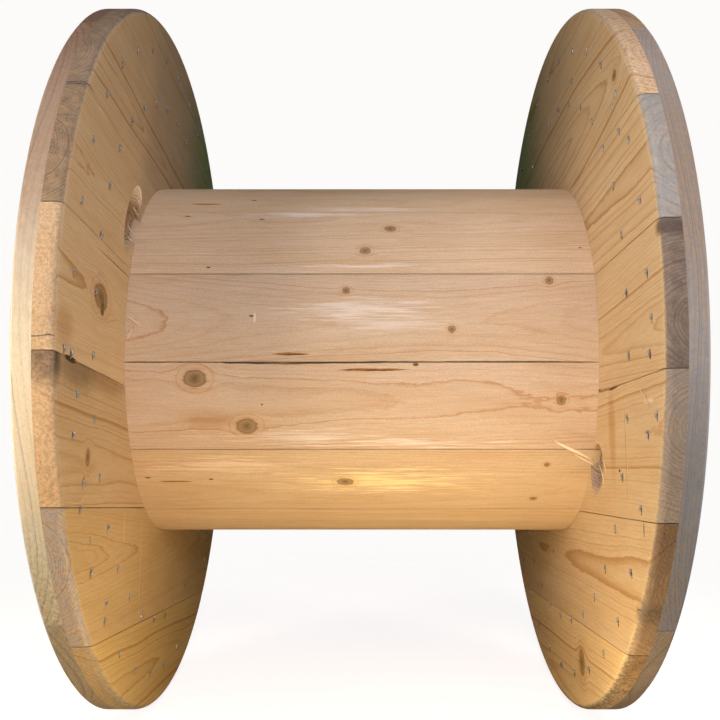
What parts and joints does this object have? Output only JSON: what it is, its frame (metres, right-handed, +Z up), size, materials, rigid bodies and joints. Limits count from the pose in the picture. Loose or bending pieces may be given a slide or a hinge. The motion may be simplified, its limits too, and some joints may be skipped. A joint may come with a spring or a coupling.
{
  "type": "wooden cable drum",
  "caption": "Empty wooden cable drum: two round flanges of crossed boards on a barrel of staves, with a spindle bore, a cable slot in each flange and clinched nails.",
  "frame": {"origin": "middle of the spindle bore, halfway between the two flanges", "axes": "+X along the drum's axis from the left flange to the right one, +Y away from the near side, +Z up"},
  "size_m": [0.678, 1, 1],
  "materials": {
    "inner_boards": "sawn and planed spruce",
    "outer_boards": "sawn and planed spruce",
    "staves": "spruce turned round on the outside",
    "tie_rods": "zinc plated rod",
    "washers": "zinc plated",
    "nuts": "zinc plated",
    "nails": "bright steel, a little dull"
  },
  "bodies": {
    "root": {"left_inner_board_1": "inner_boards", "left_inner_board_2": "inner_boards", "left_inner_board_3": "inner_boards", "left_inner_board_4": "inner_boards", "left_inner_board_5": "inner_boards", "left_inner_board_6": "inner_boards", "left_inner_board_7": "inner_boards", "right_inner_board_1": "inner_boards", "right_inner_board_2": "inner_boards", "right_inner_board_3": "inner_boards", "right_inner_board_4": "inner_boards", "right_inner_board_5": "inner_boards", "right_inner_board_6": "inner_boards", "right_inner_board_7": "inner_boards", "left_outer_board_1": "outer_boards", "left_outer_board_2": "outer_boards", "left_outer_board_3": "outer_boards", "left_outer_board_4": "outer_boards", "left_outer_board_5": "outer_boards", "left_outer_board_6": "outer_boards", "left_outer_board_7": "outer_boards", "right_outer_board_1": "outer_boards", "right_outer_board_2": "outer_boards", "right_outer_board_3": "outer_boards", "right_outer_board_4": "outer_boards", "right_outer_board_5": "outer_boards", "right_outer_board_6": "outer_boards", "right_outer_board_7": "outer_boards", "stave_1": "staves", "stave_2": "staves", "stave_3": "staves", "stave_4": "staves", "stave_5": "staves", "stave_6": "staves", "stave_7": "staves", "stave_8": "staves", "stave_9": "staves", "stave_10": "staves", "stave_11": "staves", "stave_12": "staves", "stave_13": "staves", "stave_14": "staves", "tie_rod_1": "tie_rods", "tie_rod_2": "tie_rods", "tie_rod_3": "tie_rods", "tie_rod_4": "tie_rods", "left_washers": "washers", "right_washers": "washers", "left_nuts": "nuts", "right_nuts": "nuts", "left_nails": "nails", "right_nails": "nails"}
  },
  "joints": []
}
